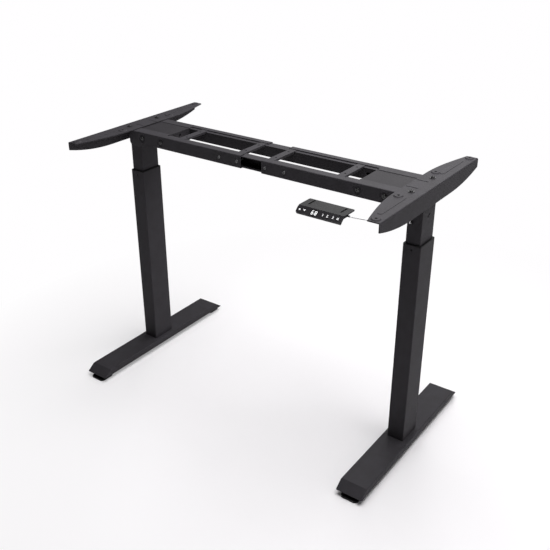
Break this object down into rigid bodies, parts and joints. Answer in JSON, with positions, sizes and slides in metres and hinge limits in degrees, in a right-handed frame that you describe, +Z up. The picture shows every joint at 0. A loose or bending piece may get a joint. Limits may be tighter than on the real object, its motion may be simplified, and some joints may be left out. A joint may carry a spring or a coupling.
{
  "type": "standing desk frame",
  "caption": "Electric height-adjustable desk frame: telescopic columns on feet, width-adjustable crossbar, side brackets for a desktop and a keypad handset.",
  "frame": {"origin": "on the floor, midway between the two columns", "axes": "+X along the crossbar to the handset's side, -Y towards the user, +Z up"},
  "size_m": [1.028, 0.596, 0.793],
  "materials": {
    "black_steel": "satin fine-texture powder coat",
    "plate_steel": "satin fine-texture powder coat",
    "bare_steel": "bare",
    "zinc_screws": "zinc plated",
    "black_screws": "black",
    "black_plastic": "matt",
    "white_plastic": "matt",
    "gloss_face": "gloss",
    "display_lens": "gloss",
    "board_green": "lacquered board",
    "grey_cable": "smooth cable sheath",
    "black_rubber": "matt"
  },
  "bodies": {
    "left_leg": {"left_foot": "black_steel", "left_foot_screws": "zinc_screws", "left_outer_tube": "black_steel", "left_collar": "black_plastic", "left_nut_tube": "bare_steel", "left_spindle_nut": "white_plastic"},
    "left_head": {"left_inner_tube": "black_steel", "left_glide_shoe": "white_plastic", "left_gearbox": "bare_steel", "left_motor": "bare_steel", "left_column_head": "black_steel", "left_front_rail": "black_steel", "left_rear_rail": "black_steel", "left_top_plate": "plate_steel", "left_side_bracket": "black_steel", "left_head_bolts": "black_screws", "left_lock_screws": "black_screws", "left_bracket_screws": "black_screws"},
    "left_spindle": {"left_spindle": "bare_steel"},
    "left_front_leveller": {"left_front_leveller": "black_plastic"},
    "left_rear_leveller": {"left_rear_leveller": "black_plastic"},
    "right_leg": {"right_foot": "black_steel", "right_foot_screws": "zinc_screws", "right_outer_tube": "black_steel", "right_collar": "black_plastic", "right_nut_tube": "bare_steel", "right_spindle_nut": "white_plastic"},
    "right_head": {"right_inner_tube": "black_steel", "right_glide_shoe": "white_plastic", "right_gearbox": "bare_steel", "right_motor": "bare_steel", "right_column_head": "black_steel", "right_front_rail": "black_steel", "right_rear_rail": "black_steel", "right_top_plate": "plate_steel", "right_side_bracket": "black_steel", "right_head_bolts": "black_screws", "right_lock_screws": "black_screws", "right_bracket_screws": "black_screws", "control_box": "black_plastic", "handset_housing": "black_plastic", "handset_face": "gloss_face", "handset_display": "display_lens", "handset_board": "board_green", "handset_strain_relief": "black_plastic", "handset_cable": "grey_cable", "cable_grommet": "black_rubber", "cable_clips": "black_plastic"},
    "right_spindle": {"right_spindle": "bare_steel"},
    "right_front_leveller": {"right_front_leveller": "black_plastic"},
    "right_rear_leveller": {"right_rear_leveller": "black_plastic"},
    "middle": {"middle_front_rail": "black_steel", "middle_rear_rail": "black_steel", "middle_rungs": "black_steel"},
    "button_up": {"button_up": "gloss_face"},
    "button_down": {"button_down": "gloss_face"},
    "button_1": {"button_1": "gloss_face"},
    "button_2": {"button_2": "gloss_face"},
    "button_3": {"button_3": "gloss_face"},
    "button_memory": {"button_memory": "gloss_face"}
  },
  "joints": [
    {"name": "left_lift", "type": "slide", "parent": "left_leg", "child": "left_head", "axis": [0, 0, 1], "range_m": [-0.05, 0.395]},
    {"name": "left_width", "type": "slide", "parent": "left_head", "child": "middle", "axis": [1, 0, 0], "range_m": [-0.033, 0.25]},
    {"name": "right_width", "type": "slide", "parent": "middle", "child": "right_head", "axis": [1, 0, 0], "range_m": [-0.033, 0.25]},
    {"name": "right_lift", "type": "slide", "parent": "right_head", "child": "right_leg", "axis": [0, 0, -1], "range_m": [-0.05, 0.395]},
    {"name": "left_spindle_turn", "type": "hinge", "parent": "left_head", "child": "left_spindle", "pos_m": [-0.475, 0, 0.4], "axis": [0, 0, 1], "range_deg": [-1510, 11860]},
    {"name": "right_spindle_turn", "type": "hinge", "parent": "right_head", "child": "right_spindle", "pos_m": [0.475, 0, 0.4], "axis": [0, 0, 1], "range_deg": [-1510, 11860]},
    {"name": "left_front_level", "type": "slide", "parent": "left_leg", "child": "left_front_leveller", "axis": [0, 0, -1], "range_m": [0, 0.006]},
    {"name": "left_rear_level", "type": "slide", "parent": "left_leg", "child": "left_rear_leveller", "axis": [0, 0, -1], "range_m": [0, 0.006]},
    {"name": "right_front_level", "type": "slide", "parent": "right_leg", "child": "right_front_leveller", "axis": [0, 0, -1], "range_m": [0, 0.006]},
    {"name": "right_rear_level", "type": "slide", "parent": "right_leg", "child": "right_rear_leveller", "axis": [0, 0, -1], "range_m": [0, 0.006]},
    {"name": "button_up_press", "type": "slide", "parent": "right_head", "child": "button_up", "axis": [0, 0.6947, -0.7193], "range_m": [0, 0.0005], "stiffness_N_per_m": 600, "springref_m": -0.0005},
    {"name": "button_down_press", "type": "slide", "parent": "right_head", "child": "button_down", "axis": [0, 0.6947, -0.7193], "range_m": [0, 0.0005], "stiffness_N_per_m": 600, "springref_m": -0.0005},
    {"name": "button_1_press", "type": "slide", "parent": "right_head", "child": "button_1", "axis": [0, 0.6947, -0.7193], "range_m": [0, 0.0005], "stiffness_N_per_m": 600, "springref_m": -0.0005},
    {"name": "button_2_press", "type": "slide", "parent": "right_head", "child": "button_2", "axis": [0, 0.6947, -0.7193], "range_m": [0, 0.0005], "stiffness_N_per_m": 600, "springref_m": -0.0005},
    {"name": "button_3_press", "type": "slide", "parent": "right_head", "child": "button_3", "axis": [0, 0.6947, -0.7193], "range_m": [0, 0.0005], "stiffness_N_per_m": 600, "springref_m": -0.0005},
    {"name": "button_memory_press", "type": "slide", "parent": "right_head", "child": "button_memory", "axis": [0, 0.6947, -0.7193], "range_m": [0, 0.0005], "stiffness_N_per_m": 600, "springref_m": -0.0005}
  ],
  "couplings": [
    {"joint": "right_lift", "follows": "left_lift", "ratio": 1},
    {"joint": "left_spindle_turn", "follows": "left_lift", "rad_per_m": 523.6},
    {"joint": "right_spindle_turn", "follows": "left_lift", "rad_per_m": 523.6}
  ]
}
